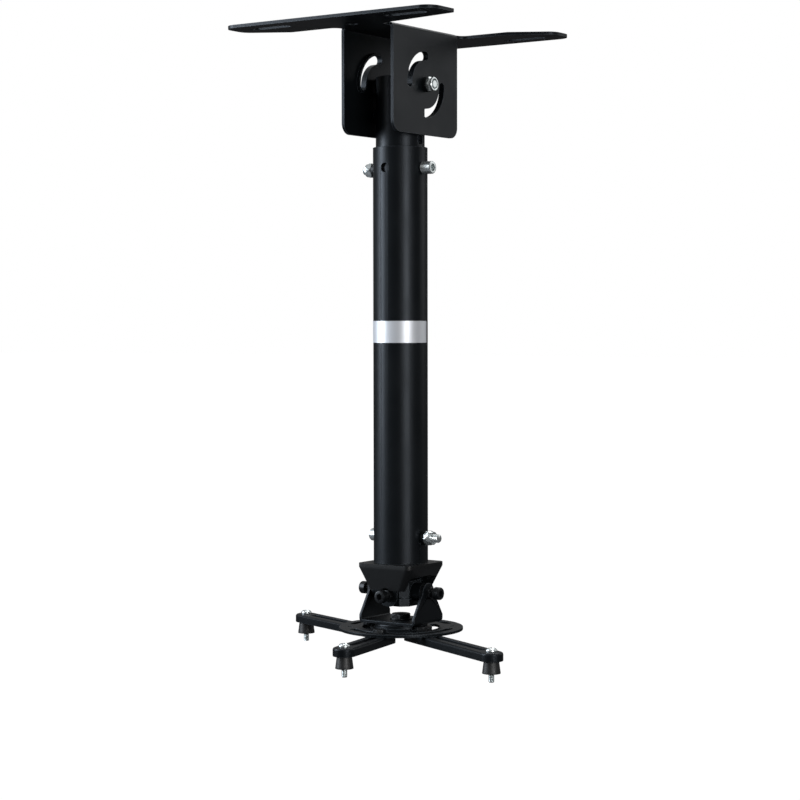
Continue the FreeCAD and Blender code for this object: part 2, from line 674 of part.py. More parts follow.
compound("pole_nuts", pole_nuts)
compound("pole_washers", pole_washers)

# Collar: a moulded block that tapers below the pole, open underneath, with two
# tongues over the tilt screws and a spigot that plugs the outer tube.
collar = new_body("collar")
collar_foot = collar_top - s.collar_high
rim_foot = collar_top - s.collar_rim
pad(collar, rectangle(sketch_on(collar, "XY_Plane", rim_foot),
                      -s.collar_top_x, s.collar_top_x, -s.collar_top_y, s.collar_top_y), s.collar_rim)
top_sketch = rectangle(sketch_on(collar, "XY_Plane", rim_foot),
                       -s.collar_top_x, s.collar_top_x, -s.collar_top_y, s.collar_top_y)
low_sketch = rectangle(sketch_on(collar, "XY_Plane", collar_foot),
                       -s.collar_low_x, s.collar_low_x, -s.collar_low_y, s.collar_low_y)
taper = collar.newObject("PartDesign::AdditiveLoft", "taper")
taper.Profile = top_sketch
taper.Sections = [low_sketch]
doc.recompute()
rounded(collar, lambda e: e.BoundBox.ZLength > 1, s.collar_corner)
spigot_side = outer_bore - s.tube_gap
spigot_top = collar_top + s.spigot_len
spigot_bore = spigot_side - s.spigot_wall
turned(collar, [(spigot_bore, collar_top - 1), (spigot_side, collar_top - 1),
                (spigot_side, spigot_top), (spigot_bore, spigot_top)])
cavity_y = s.block_half + s.friction_thk + s.yoke_thk + s.seat_gap
roof = collar_top - s.collar_roof
pocket(collar, rectangle(sketch_on(collar, "XY_Plane", roof), -s.cavity_half_x, s.cavity_half_x,
                         -cavity_y, cavity_y), s.collar_high)
skirt_foot = collar_top - s.skirt_high
below = collar_foot - 1
side_gap = sketch_on(collar, "YZ_Plane")
arch_top = skirt_foot + s.skirt_arch
polygon(side_gap, [(-cavity_y, below), (cavity_y, below), (cavity_y, skirt_foot), (cavity_y / 2, arch_top),
                   (-cavity_y / 2, arch_top), (-cavity_y, skirt_foot)])
pocket(collar, side_gap)
pitch_z = -s.tilt_drop - s.pitch_fall
pocket(collar, circle(sketch_on(collar, "XZ_Plane"), 2 * s.tongue_arch, 0, pitch_z))
pocket(collar, circle(sketch_on(collar, "YZ_Plane"), pole_hole, 0, lower_z))
pocket(collar, circle(sketch_on(collar, "XY_Plane"), s.yoke_bolt_dia + 2 * s.bolt_gap))
finished(collar, "collar")

# Upper yoke: a folded strap against the collar's roof; its two round ears hold
# the cross block on the Y axis, and one button bolt fixes it.
upper_yoke = new_body("upper_yoke")
ear_in = s.block_half + s.friction_thk
ear_out = ear_in + s.yoke_thk
ear_foot = pitch_z - s.yoke_half_x
strap = roof - s.yoke_thk
pad(upper_yoke, polygon(sketch_on(upper_yoke, "YZ_Plane"),
                        [(-ear_out, ear_foot), (-ear_in, ear_foot), (-ear_in, strap), (ear_in, strap),
                         (ear_in, ear_foot), (ear_out, ear_foot), (ear_out, roof), (-ear_out, roof)]),
    2 * s.yoke_half_x, both=True)
rounded(upper_yoke, lambda e: runs_along(e, "X") and near(abs(e.BoundBox.YMin), ear_out)
        and near(e.BoundBox.ZMin, roof), s.yoke_bend + s.yoke_thk)
rounded(upper_yoke, lambda e: runs_along(e, "X") and near(abs(e.BoundBox.YMin), ear_in)
        and near(e.BoundBox.ZMin, strap), s.yoke_bend)
rounded(upper_yoke, lambda e: runs_along(e, "Y") and near(e.BoundBox.ZMin, ear_foot),
        s.yoke_half_x - 0.2)
pin_hole = s.bolt_dia + 2 * s.pin_gap
pocket(upper_yoke, circle(sketch_on(upper_yoke, "XZ_Plane"), pin_hole, 0, pitch_z))
pocket(upper_yoke, circle(sketch_on(upper_yoke, "XY_Plane"), s.yoke_bolt_dia + 2 * s.bolt_gap))
finished(upper_yoke, "upper_yoke")
yoke_grip = s.yoke_thk + s.collar_roof
yoke_bolt = cap_screw("yoke_bolt", s.yoke_bolt_dia, yoke_grip + s.pivot_nut_high + s.pivot_tip,
                      s.yoke_button_dia, s.yoke_button_high, s.socket_across, s.socket_deep / 2)
finished(place(yoke_bolt, 0, 0, strap, TO_FLOOR), "yoke_bolt")
yoke_nut = nut_body("yoke_nut", s.pivot_across, s.pivot_nut_high, s.yoke_bolt_dia)
finished(place(yoke_nut, 0, 0, collar_top), "yoke_nut")

# Cross block: one casting with two trunnions along X; a groove runs round it,
# and four screws turn in the yoke's and the fork's ears.
cross_block = new_body("cross_block")
block_foot = -s.tilt_drop - s.block_fall
pad(cross_block, rectangle(sketch_on(cross_block, "XY_Plane", block_foot), -s.block_half, s.block_half,
                           -s.block_half, s.block_half), s.block_fall + s.block_rise)
rounded(cross_block, lambda e: runs_along(e, "Z"), s.block_corner, "Chamfer")
groove_z = -s.tilt_drop - s.block_groove_fall
turned(cross_block, [(s.block_groove_rad, groove_z - s.block_groove_wide / 2),
                     (2 * s.block_half, groove_z - s.block_groove_wide / 2),
                     (2 * s.block_half, groove_z + s.block_groove_wide / 2),
                     (s.block_groove_rad, groove_z + s.block_groove_wide / 2)], cut=True)
fork_in = s.fork_face - s.fork_thk
trunnion_end = fork_in - s.friction_thk
pad(cross_block, circle(sketch_on(cross_block, "YZ_Plane"), s.trunnion_dia, 0, -s.tilt_drop),
    2 * trunnion_end, both=True)
thread_hole = s.bolt_dia + 2 * s.thread_gap
bolt_hole = s.bolt_dia + 2 * s.bolt_gap
pocket(cross_block, circle(sketch_on(cross_block, "YZ_Plane"), thread_hole, 0, -s.tilt_drop))
pocket(cross_block, circle(sketch_on(cross_block, "XZ_Plane"), thread_hole, 0, pitch_z))
finished(cross_block, "cross_block")
AXES = {
    "roll": (s.tilt_cap_x, s.fork_face, fork_in, trunnion_end, (TO_RIGHT, TO_LEFT)),
    "pitch": (s.tilt_cap_y, ear_out, ear_in, s.block_half, (TO_BACK, TO_FRONT)),
}
for axis_name, (cap, ear_face, ear_back, seat, ways) in AXES.items():
    bite = s.tilt_bite if axis_name == "roll" else s.tilt_bite * 0.7
    screws = []
    jams = []
    pads = []
    for way, sign in zip(ways, (1, -1)):
        def along(distance):
            """The three coordinates of a place on this tilt axis."""
            if axis_name == "roll":
                return (sign * distance, 0, -s.tilt_drop)
            return (0, sign * distance, pitch_z)
        screw = cap_screw(axis_name + "_screw", s.bolt_dia, cap - seat + bite, s.cap_dia, s.cap_high,
                          s.socket_across, s.socket_deep)
        screws.append(place(screw, *along(cap), way))
        jam = nut_body(axis_name + "_jam", s.nut_across, s.jam_high, s.bolt_dia)
        jams.append(place(jam, *along(ear_face), way))
        friction = ring_body(axis_name + "_pad", s.friction_dia, bolt_hole, s.friction_thk)
        pads.append(place(friction, *along(seat), way))
    compound(axis_name + "_screws", screws)
    compound(axis_name + "_jam_nuts", jams)
    compound(axis_name + "_friction_washers", pads)

# Lower fork: a folded strap with two tapered ears on the trunnions, its web
# lying on the hub of the swivel disc.
lower_fork = new_body("lower_fork")
fork_foot = -s.tilt_drop - s.fork_fall
fork_floor = fork_foot + s.fork_thk
fork_top = s.fork_ear_rad - s.tilt_drop
pad(lower_fork, polygon(sketch_on(lower_fork, "XZ_Plane"),
                        [(-s.fork_face, fork_foot), (s.fork_face, fork_foot), (s.fork_face, fork_top),
                         (fork_in, fork_top), (fork_in, fork_floor), (-fork_in, fork_floor),
                         (-fork_in, fork_top), (-s.fork_face, fork_top)]),
    2 * s.fork_half_y, both=True)
rounded(lower_fork, lambda e: runs_along(e, "Y") and near(abs(e.BoundBox.XMin), s.fork_face)
        and near(e.BoundBox.ZMin, fork_foot), s.yoke_bend + s.fork_thk)
rounded(lower_fork, lambda e: runs_along(e, "Y") and near(abs(e.BoundBox.XMin), fork_in)
        and near(e.BoundBox.ZMin, fork_floor), s.yoke_bend)
ear_cuts = sketch_on(lower_fork, "YZ_Plane")
shoulder = fork_foot + s.fork_shoulder
for side in (-1, 1):
    polygon(ear_cuts, [(side * s.fork_half_y, shoulder), (side * (s.fork_half_y + 1), shoulder),
                       (side * (s.fork_half_y + 1), fork_top + 1), (side * s.fork_ear_rad, fork_top + 1),
                       (side * s.fork_ear_rad, -s.tilt_drop)])
pocket(lower_fork, ear_cuts)
rounded(lower_fork, lambda e: runs_along(e, "X") and near(e.BoundBox.ZMin, fork_top),
        s.fork_ear_rad - 0.2)
pocket(lower_fork, circle(sketch_on(lower_fork, "YZ_Plane"), pin_hole, 0, -s.tilt_drop))
pocket(lower_fork, circle(sketch_on(lower_fork, "XY_Plane"), s.swivel_dia + 2 * s.pin_gap))
finished(lower_fork, "lower_fork")

# Swivel: a flat-headed bolt up through the disc's hub and the fork's web, with
# a washer and a nut inside the fork.
hub_roof = fork_foot - s.disc_thk
swivel_grip = fork_floor - hub_roof
swivel_top = swivel_grip + s.swivel_washer_thk + s.swivel_nut_high + s.swivel_tip
swivel_bolt = new_body("swivel_bolt")
turned(swivel_bolt, [(0, -s.swivel_head_thk), (s.swivel_head_dia / 2, -s.swivel_head_thk),
                     (s.swivel_head_dia / 2, 0), (s.swivel_dia / 2, 0), (s.swivel_dia / 2, swivel_top - 0.5),
                     (s.swivel_dia / 2 - 0.5, swivel_top), (0, swivel_top)])
finished(place(swivel_bolt, 0, 0, hub_roof), "swivel_bolt")
swivel_washer = ring_body("swivel_washer", s.swivel_washer_dia, s.swivel_dia + 2 * s.bolt_gap,
                          s.swivel_washer_thk)
finished(place(swivel_washer, 0, 0, fork_floor), "swivel_washer")
swivel_nut = nut_body("swivel_nut", s.swivel_across, s.swivel_nut_high, s.swivel_dia)
finished(place(swivel_nut, 0, 0, fork_floor + s.swivel_washer_thk), "swivel_nut")

# Swivel disc: a pressed plate with a raised hub, two long outer and two shorter
# inner arc slots for the arms' clamps, and a pilot hole in each outer bridge.
disc_blank = new_body("disc_blank")
disc_top = fork_foot - s.hub_high
disc_foot = disc_top - s.disc_thk
hub_hole = s.swivel_dia / 2 + s.pin_gap
hub_bore = s.hub_rad - s.disc_thk
turned(disc_blank, [(hub_hole, hub_roof), (hub_bore, hub_roof), (hub_bore, disc_foot),
                    (s.disc_rad, disc_foot), (s.disc_rad, disc_top), (s.hub_rad, disc_top),
                    (s.hub_rad, fork_foot), (hub_hole, fork_foot)])
rounded(disc_blank, lambda e: near(e.BoundBox.XMax, s.hub_rad) and near(e.BoundBox.ZMin, fork_foot)
        and near(e.BoundBox.ZMax, fork_foot), s.hub_round)
disc_tools = []
for half_turn in (0, 180):
    outer_start = s.disc_turn_deg + half_turn - s.outer_arc_sweep_deg / 2
    inner_start = s.inner_arc_turn_deg + half_turn - s.inner_arc_sweep_deg / 2
    disc_tools.append(arc_slot(s.outer_arc_rad, s.disc_slot_wide, outer_start, s.outer_arc_sweep_deg))
    disc_tools.append(arc_slot(s.inner_arc_rad, s.disc_slot_wide, inner_start, s.inner_arc_sweep_deg))
    pilot = doc.addObject("Part::Cylinder", "pilot")
    bind(pilot, "Radius", s.pilot_dia / 2)
    pilot.Height = CROSSING
    disc_tools.append(place_polar(pilot, s.outer_arc_rad, s.disc_turn_deg + half_turn + 90, 0))
for tool in disc_tools:
    bind(tool, ".Placement.Base.z", disc_foot - CROSSING / 2)
cut_with(disc_blank, disc_tools, "swivel_disc")

# Arms: three pressed channels under the disc. Each is clamped through a disc
# slot and its own long slot, and carries a screw and a tapered spacer.
ARMS = {
    "right": (s.inner_arc_rad, s.right_clamp_turn_deg, s.right_arm_turn_deg, s.right_arm_len),
    "left": (s.inner_arc_rad, s.left_clamp_turn_deg, s.left_arm_turn_deg, s.left_arm_len),
    "front": (s.outer_arc_rad, s.front_clamp_turn_deg, s.front_arm_turn_deg, s.front_arm_len),
}
for arm_name, (clamp_rad, clamp_turn, heading, length) in ARMS.items():
    arm = new_body(arm_name + "_arm")
    half = s.arm_wide / 2
    pad(arm, stadium(sketch_on(arm, "XY_Plane"), -s.arm_spare, length, 0, half), s.arm_high, down=True)
    rounded(arm, lambda e: near(e.BoundBox.ZMin, 0), s.arm_round)
    pocket(arm, stadium(sketch_on(arm, "XY_Plane", -s.arm_thk), -s.arm_spare, length, 0,
                        half - s.arm_thk), s.arm_high)
    top_holes = stadium(sketch_on(arm, "XY_Plane"), -s.arm_spare, length - s.arm_land, 0,
                        s.disc_slot_wide / 2)
    circle(top_holes, s.screw_dia + s.bolt_gap, length)
    pocket(arm, top_holes)
    finished(place_polar(arm, clamp_rad, clamp_turn, disc_foot, heading), arm_name + "_arm")

    nut_floor = disc_top - disc_foot
    clamp_bolt = new_body(arm_name + "_clamp_bolt")
    head_top = -s.arm_thk - s.washer_thk
    head_foot = head_top - s.clamp_head_high
    head_side = s.clamp_head_dia / 2
    thread_top = nut_floor + s.clamp_nut_high
    turned(clamp_bolt, [(0, head_foot), (head_side - 0.8, head_foot), (head_side, head_foot + 0.8),
                        (head_side, head_top), (s.bolt_dia / 2, head_top), (s.bolt_dia / 2, thread_top),
                        (0, thread_top)])
    finished(place_polar(clamp_bolt, clamp_rad, clamp_turn, disc_foot, heading), arm_name + "_clamp_bolt")
    clamp_nut = nut_body(arm_name + "_clamp_nut", s.nut_across, s.clamp_nut_high, s.bolt_dia)
    finished(place_polar(clamp_nut, clamp_rad, clamp_turn, disc_top, heading), arm_name + "_clamp_nut")
    clamp_washer = ring_body(arm_name + "_clamp_washer", s.washer_dia, bolt_hole, s.washer_thk)
    finished(place_polar(clamp_washer, clamp_rad, clamp_turn, disc_foot - s.arm_thk - s.washer_thk, heading),
             arm_name + "_clamp_washer")

    foot = -s.arm_high - s.spacer_drop
    tip = foot - s.screw_reach
    thread = s.screw_dia / 2
    neck = s.screw_neck_dia / 2
    head = s.screw_head_dia / 2
    screw = new_body(arm_name + "_screw")
    turned(screw, [(0, tip), (thread - 0.4, tip), (thread, tip + 0.4), (thread, foot), (neck, foot), (neck, 0),
                   (head, 0), (head, s.screw_head_high / 2), (head - 1, s.screw_head_high),
                   (0, s.screw_head_high)])
    finished(place_polar(screw, clamp_rad, clamp_turn, disc_foot, heading, length), arm_name + "_screw")
    spacer = new_body(arm_name + "_spacer")
    spacer_bore = (s.screw_dia + s.bolt_gap) / 2
    turned(spacer, [(spacer_bore, foot), (s.spacer_foot_dia / 2, foot), (s.spacer_neck_dia / 2, -s.arm_high),
                    (s.spacer_neck_dia / 2, -s.arm_thk), (spacer_bore, -s.arm_thk)])
    finished(place_polar(spacer, clamp_rad, clamp_turn, disc_foot, heading, length), arm_name + "_spacer")

# Every object is sound, and every sub-part a valid shape, before any is written.
doc.recompute()
for obj in doc.Objects:
    if "Invalid" in obj.State or "Error" in obj.State:
        raise RuntimeError("%s did not compute: %s" % (obj.Label, obj.State))
for obj in sub_parts:
    if obj.Shape.isNull() or not obj.Shape.isValid() or not obj.Shape.Solids:
        raise RuntimeError("no valid shape for " + obj.Label)
os.makedirs("parts", exist_ok=True)
for obj in sub_parts:
    obj.Shape.exportStep("parts/%s.step" % obj.Label)
print("%d sub-parts written" % len(sub_parts))
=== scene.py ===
import math

import bmesh
import bpy
from mathutils import Matrix, Vector


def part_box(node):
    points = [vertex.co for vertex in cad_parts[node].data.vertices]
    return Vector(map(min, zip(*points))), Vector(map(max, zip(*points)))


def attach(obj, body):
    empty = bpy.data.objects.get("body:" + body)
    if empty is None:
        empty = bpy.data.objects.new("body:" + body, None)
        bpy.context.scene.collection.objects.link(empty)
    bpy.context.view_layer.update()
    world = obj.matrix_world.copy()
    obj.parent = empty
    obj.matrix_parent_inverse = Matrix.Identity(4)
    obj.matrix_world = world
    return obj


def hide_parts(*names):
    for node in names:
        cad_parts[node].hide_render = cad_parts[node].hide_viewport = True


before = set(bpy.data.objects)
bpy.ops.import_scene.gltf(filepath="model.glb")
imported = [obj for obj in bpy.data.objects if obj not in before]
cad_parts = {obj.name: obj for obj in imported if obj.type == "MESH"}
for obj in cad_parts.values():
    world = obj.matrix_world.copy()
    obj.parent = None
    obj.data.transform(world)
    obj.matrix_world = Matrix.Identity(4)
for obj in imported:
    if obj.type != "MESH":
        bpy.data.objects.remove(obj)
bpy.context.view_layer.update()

# Ceiling plate: one piece of mild steel sheet, blanked and slotted, with the
# two cheeks folded down. It is powder coated in satin black after all cutting,
# so the coat rolls softly over every edge.


def linear(hex_colour):
    """An sRGB hex colour as linear RGBA."""
    channels = [int(hex_colour[i:i + 2], 16) / 255 for i in (1, 3, 5)]
    return [c / 12.92 if c <= 0.04045 else ((c + 0.055) / 1.055) ** 2.4 for c in channels] + [1.0]


def add_node(tree, kind, settings=None, links=None):
    """Adds a node; settings go to sockets or properties, links join outputs to its sockets."""
    node = tree.nodes.new(kind)
    for key, value in (settings or {}).items():
        if isinstance(key, int) or key in node.inputs:
            node.inputs[key].default_value = value
        else:
            setattr(node, key, value)
    for socket, output in (links or {}).items():
        tree.links.new(output, node.inputs[socket])
    return node


def new_material(name, **shader):
    """A material with one Principled shader; returns material, tree and shader."""
    material = bpy.data.materials.new(name)
    material.use_nodes = True
    tree = material.node_tree
    principled = tree.nodes["Principled BSDF"]
    for key, value in shader.items():
        principled.inputs[key.replace("_", " ")].default_value = value
    return material, tree, principled


def per_mm(size):
    """The texture scale that gives one feature in so many millimetres."""
    return 1000.0 / size


# Powder coat: polyester powder baked on steel. It flows into a faint orange
# peel about 1.6 mm wide and its sheen varies over some 45 mm. Along the edges
# it is painted lighter and greyer, a painted highlight where the edges catch light.
CLOUD_MM, PEEL_MM = 45, 1.6
HIGHLIGHT_EDGE, PEEL_DEEP = 0.0008, 0.0002
MIX_A, MIX_B, MIX_OUT = 6, 7, 2  # the colour sockets of a mix node
powder_coat, tree, shader = new_material("satin_black_powder_coat", IOR=1.5)
shader.inputs["Specular IOR Level"].default_value = 0.21
shader.inputs["Specular Tint"].default_value = linear("#e9f3ff")
coat_place = add_node(tree, "ShaderNodeTexCoord")
coat_cloud = add_node(tree, "ShaderNodeTexNoise",
                      {"Scale": per_mm(CLOUD_MM), "Detail": 3.0, "Roughness": 0.6},
                      {"Vector": coat_place.outputs["Object"]})
coat_peel = add_node(tree, "ShaderNodeTexNoise",
                     {"Scale": per_mm(PEEL_MM), "Detail": 2.0, "Roughness": 0.5},
                     {"Vector": coat_place.outputs["Object"]})
coat_colour = add_node(tree, "ShaderNodeMix", {"data_type": "RGBA"},
                       {0: coat_cloud.outputs["Fac"]})
coat_colour.inputs[MIX_A].default_value = linear("#06080a")
coat_colour.inputs[MIX_B].default_value = linear("#0a0d0f")
# Painted highlight: a band about 0.8 mm wide along every edge is mixed towards the light grey
# #4a5056.
coat_round = add_node(tree, "ShaderNodeBevel", {"samples": 4, "Radius": HIGHLIGHT_EDGE})
coat_facing = add_node(tree, "ShaderNodeNewGeometry")
coat_turn = add_node(tree, "ShaderNodeVectorMath", {"operation": "DOT_PRODUCT"},
                     {0: coat_round.outputs["Normal"], 1: coat_facing.outputs["Normal"]})
coat_edge = add_node(tree, "ShaderNodeMapRange",
                     {"From Min": 0.995, "From Max": 0.9, "To Min": 0.0, "To Max": 0.9},
                     {"Value": coat_turn.outputs["Value"]})
coat_highlight_mask = add_node(tree, "ShaderNodeMath", {"operation": "MULTIPLY"},
                    {0: coat_edge.outputs["Result"], 1: coat_peel.outputs["Fac"]})
coat_with_highlight = add_node(tree, "ShaderNodeMix", {"data_type": "RGBA"},
                     {0: coat_highlight_mask.outputs[0], MIX_A: coat_colour.outputs[MIX_OUT]})
coat_with_highlight.inputs[MIX_B].default_value = linear("#4a5056")
tree.links.new(coat_with_highlight.outputs[MIX_OUT], shader.inputs["Base Color"])
coat_rough = add_node(tree, "ShaderNodeMapRange",
                      {"From Min": 0.3, "From Max": 0.7, "To Min": 0.35, "To Max": 0.44},
                      {"Value": coat_cloud.outputs["Fac"]})
tree.links.new(coat_rough.outputs["Result"], shader.inputs["Roughness"])
coat_bump = add_node(tree, "ShaderNodeBump", {"Strength": 0.12, "Distance": PEEL_DEEP},
                     {"Height": coat_peel.outputs["Fac"]})
tree.links.new(coat_bump.outputs["Normal"], shader.inputs["Normal"])

WELD_GAP, SOFT_ANGLE, FACE_WEIGHT = 0.000002, math.radians(38), 80


def finish_node(name, material, edge_mm):
    """Gives a CAD node its finish and a small softened edge."""
    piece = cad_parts[name]
    piece.data.materials.clear()
    piece.data.materials.append(material)
    weld = piece.modifiers.new("joined_edges", "WELD")
    weld.merge_threshold = WELD_GAP
    soft = piece.modifiers.new("soft_edges", "BEVEL")
    soft.width = edge_mm / 1000
    soft.segments = 2
    soft.limit_method = "ANGLE"
    soft.angle_limit = SOFT_ANGLE
    soft.use_clamp_overlap = True
    even = piece.modifiers.new("even_shading", "WEIGHTED_NORMAL")
    even.keep_sharp = False
    even.weight = FACE_WEIGHT


finish_node("ceiling_plate", powder_coat, 0.25)

# Pivot: a hexagon bolt through both cheeks with a lock nut, both zinc plated,
# on thick black steel washers; thin nylon spacers keep the pole's tube off the
# cheeks.

# Zinc plate: bright steel fasteners plated in a barrel, silvery with a cold
# cast and cloudy over a few millimetres. The grain of the plating is drawn
# coarser than it is, so that it shows.
ZINC_CLOUD_MM, ZINC_GRAIN_MM, ZINC_GRAIN_DEEP = 3, 0.4, 0.0001
zinc, tree, shader = new_material("bright_zinc_plate", Metallic=0.88)
zinc_place = add_node(tree, "ShaderNodeTexCoord")
zinc_cloud = add_node(tree, "ShaderNodeTexNoise", {"Scale": per_mm(ZINC_CLOUD_MM), "Detail": 3.0},
                      {"Vector": zinc_place.outputs["Object"]})
zinc_colour = add_node(tree, "ShaderNodeMix", {"data_type": "RGBA"},
                       {0: zinc_cloud.outputs["Fac"]})
zinc_colour.inputs[MIX_A].default_value = linear("#c6cdcf")
zinc_colour.inputs[MIX_B].default_value = linear("#e2e7e6")
tree.links.new(zinc_colour.outputs[MIX_OUT], shader.inputs["Base Color"])
zinc_rough = add_node(tree, "ShaderNodeMapRange", {"To Min": 0.2, "To Max": 0.3},
                      {"Value": zinc_cloud.outputs["Fac"]})
tree.links.new(zinc_rough.outputs["Result"], shader.inputs["Roughness"])
zinc_grain = add_node(tree, "ShaderNodeTexNoise", {"Scale": per_mm(ZINC_GRAIN_MM), "Detail": 1.0},
                      {"Vector": zinc_place.outputs["Object"]})
zinc_bump = add_node(tree, "ShaderNodeBump", {"Strength": 0.08, "Distance": ZINC_GRAIN_DEEP},
                     {"Height": zinc_grain.outputs["Fac"]})
tree.links.new(zinc_bump.outputs["Normal"], shader.inputs["Normal"])

# Black steel: blackened in a hot salt bath and oiled, a dark metal with a soft
# sheen that is uneven over a few millimetres.
OXIDE_CLOUD_MM = 2.5
black_oxide, tree, shader = new_material("black_oxide_steel", Metallic=0.6)
oxide_place = add_node(tree, "ShaderNodeTexCoord")
oxide_cloud = add_node(tree, "ShaderNodeTexNoise", {"Scale": per_mm(OXIDE_CLOUD_MM), "Detail": 3.0},
                       {"Vector": oxide_place.outputs["Object"]})
oxide_colour = add_node(tree, "ShaderNodeMix", {"data_type": "RGBA"},
                        {0: oxide_cloud.outputs["Fac"]})
oxide_colour.inputs[MIX_A].default_value = linear("#0f1113")
oxide_colour.inputs[MIX_B].default_value = linear("#1d2023")
tree.links.new(oxide_colour.outputs[MIX_OUT], shader.inputs["Base Color"])
oxide_rough = add_node(tree, "ShaderNodeMapRange", {"To Min": 0.3, "To Max": 0.46},
                       {"Value": oxide_cloud.outputs["Fac"]})
tree.links.new(oxide_rough.outputs["Result"], shader.inputs["Roughness"])
finish_node("pivot_washers", black_oxide, 0.35)

# Nylon: moulded in black, nearly matt, with a flow pattern in its sheen.
FLOW_MM = 4
nylon, tree, shader = new_material("black_nylon", Base_Color=linear("#08090a"), IOR=1.53)
nylon_place = add_node(tree, "ShaderNodeTexCoord")
nylon_flow = add_node(tree, "ShaderNodeTexNoise", {"Scale": per_mm(FLOW_MM), "Detail": 2.0},
                      {"Vector": nylon_place.outputs["Object"]})
nylon_rough = add_node(tree, "ShaderNodeMapRange", {"To Min": 0.42, "To Max": 0.6},
                       {"Value": nylon_flow.outputs["Fac"]})
tree.links.new(nylon_rough.outputs["Result"], shader.inputs["Roughness"])
finish_node("pivot_spacers", nylon, 0.2)

SEGMENTS = 96
TURN = [2 * math.pi * i / SEGMENTS for i in range(SEGMENTS)]


def round_ring(radius):
    """One ring of a turned skin."""
    return [radius] * SEGMENTS


def hexagon_ring(across, limit=1.0):
    """A hexagon drawn by its distance in each direction, with its corners cut at a limit."""
    sixth = math.pi / 3
    return [min(limit, across / 2 / math.cos((t + sixth / 2) % sixth - sixth / 2)) for t in TURN]


def skin(shape, rings, place, bored=False):
    """Joins rings of (height, radii) into a closed skin, through its bore or with two end faces."""
    loops = []
    for height, radii in rings:
        loops.append([shape.verts.new(place @ Vector((r * math.cos(t), r * math.sin(t), height)))
                      for r, t in zip(radii, TURN)])
    following = loops[1:] + ([loops[0]] if bored else [])
    for low, high in zip(loops, following):
        for i in range(SEGMENTS):
            j = (i + 1) % SEGMENTS
            shape.faces.new((low[i], low[j], high[j], high[i]))
    if bored:
        return
    for loop, height in ((loops[0], rings[0][0]), (loops[-1], rings[-1][0])):
        centre = shape.verts.new(place @ Vector((0, 0, height)))
        for i in range(SEGMENTS):
            shape.faces.new((loop[i], loop[(i + 1) % SEGMENTS], centre))


def along(axis, sign, origin):
    """A placement whose Z axis runs along a row axis, one way or the other."""
    target = Vector([sign if axis == letter else 0 for letter in "XYZ"])
    turn = Vector((0, 0, 1)).rotation_difference(target)
    return Matrix.Translation(origin) @ turn.to_matrix().to_4x4()


CHAMFER_STEPS = 5


def chamfer_rings(across, top, deep, rim):
    """The turned chamfer of a hexagon, from its full corners up to a round rim."""
    corner = across / 2 / math.cos(math.pi / 6)
    rings = []
    for step in range(CHAMFER_STEPS + 1):
        share = step / CHAMFER_STEPS
        rings.append((top - deep * (1 - share),
                      hexagon_ring(across, corner + (rim - corner) * share)))
    return rings


NUT_CHAMFER, NUT_RIM, NUT_FULL, NUT_RECESS = 0.0016, 0.96, 0.0007, 0.0012
COLLAR_SHARE = 0.94  # of the hexagon's width
NUT_FOOT = ((0, 0.97), (0.0002, 1.02))  # height, share of the hexagon's width
COLLAR_FOOT = ((0.0001, 1.02), (0.0003, 1))  # height over the hexagon, share of the collar's
COLLAR_LIP = ((-0.0004, 1), (-0.0001, 0.985), (0, 0.96), (0, 0.82),
              (-0.0002, 0.79), (-NUT_RECESS, 0.79))  # height over the top, the same share
RING_FOOT = ((-NUT_RECESS, 1.04), (-0.0014, 1))  # height over the top, share of the bore's


def lock_nut_rings(across, high, collar, bore):
    """A lock nut on z = 0: a chamfered hexagon, then a rolled collar over a recessed ring."""
    corner = across / 2 / math.cos(math.pi / 6)
    flat = across / 2
    hexed = high - collar
    wide = flat * COLLAR_SHARE
    rings = [(0, round_ring(bore))]
    rings += [(rise, hexagon_ring(across, flat * share)) for rise, share in NUT_FOOT]
    rings.append((NUT_FULL, hexagon_ring(across, corner)))
    rings += chamfer_rings(across, hexed, NUT_CHAMFER, flat * NUT_RIM)
    rings += [(hexed + rise, round_ring(wide * share)) for rise, share in COLLAR_FOOT]
    rings += [(high + rise, round_ring(wide * share)) for rise, share in COLLAR_LIP]
    rings += [(high + rise, round_ring(bore * share)) for rise, share in RING_FOOT]
    return rings


THREAD_DEEP, THREAD_ROWS = 0.54, 6  # of the pitch; rings to one pitch
CREST_FLAT, FLANK_SLOPE = 1.3, 2.6


def thread_rings(start, end, major, pitch):
    """A rolled thread as a wavy skin from one height to another."""
    minor = major - THREAD_DEEP * pitch
    rows = max(2, int(abs(end - start) / pitch * THREAD_ROWS))
    rings = []
    for row in range(rows + 1):
        height = start + (end - start) * row / rows
        ring = []
        for t in TURN:
            phase = (height / pitch - t / (2 * math.pi)) % 1.0
            crest = min(1.0, max(0.0, CREST_FLAT - FLANK_SLOPE * abs(phase - 0.5)))
            ring.append(minor + (major - minor) * crest)
        rings.append((height, ring))
    return rings


PLAIN_SHARE, RUN_OUT = 0.985, 0.0003  # plain shank against thread; the thread's last turn
HEX_TIP, HEX_TIP_SHARE, HEX_CHAMFER, HEX_RIM = 0.0008, 0.8, 0.0014, 0.95


def hex_bolt_rings(length, shank, pitch, across, high, threaded):
    """A hexagon bolt from its chamfered tip at z = 0 to its head."""
    corner = across / 2 / math.cos(math.pi / 6)
    flat = across / 2
    plain = shank * PLAIN_SHARE
    seat = length - high
    rings = [(0, round_ring(shank * HEX_TIP_SHARE))]
    rings += thread_rings(HEX_TIP, threaded, shank, pitch)
    rings += [(threaded + RUN_OUT, round_ring(plain)), (seat, round_ring(plain)),
              (seat, hexagon_ring(across, corner))]
    rings += chamfer_rings(across, length, HEX_CHAMFER, flat * HEX_RIM)
    return rings


SHARP_ANGLE = math.radians(32)


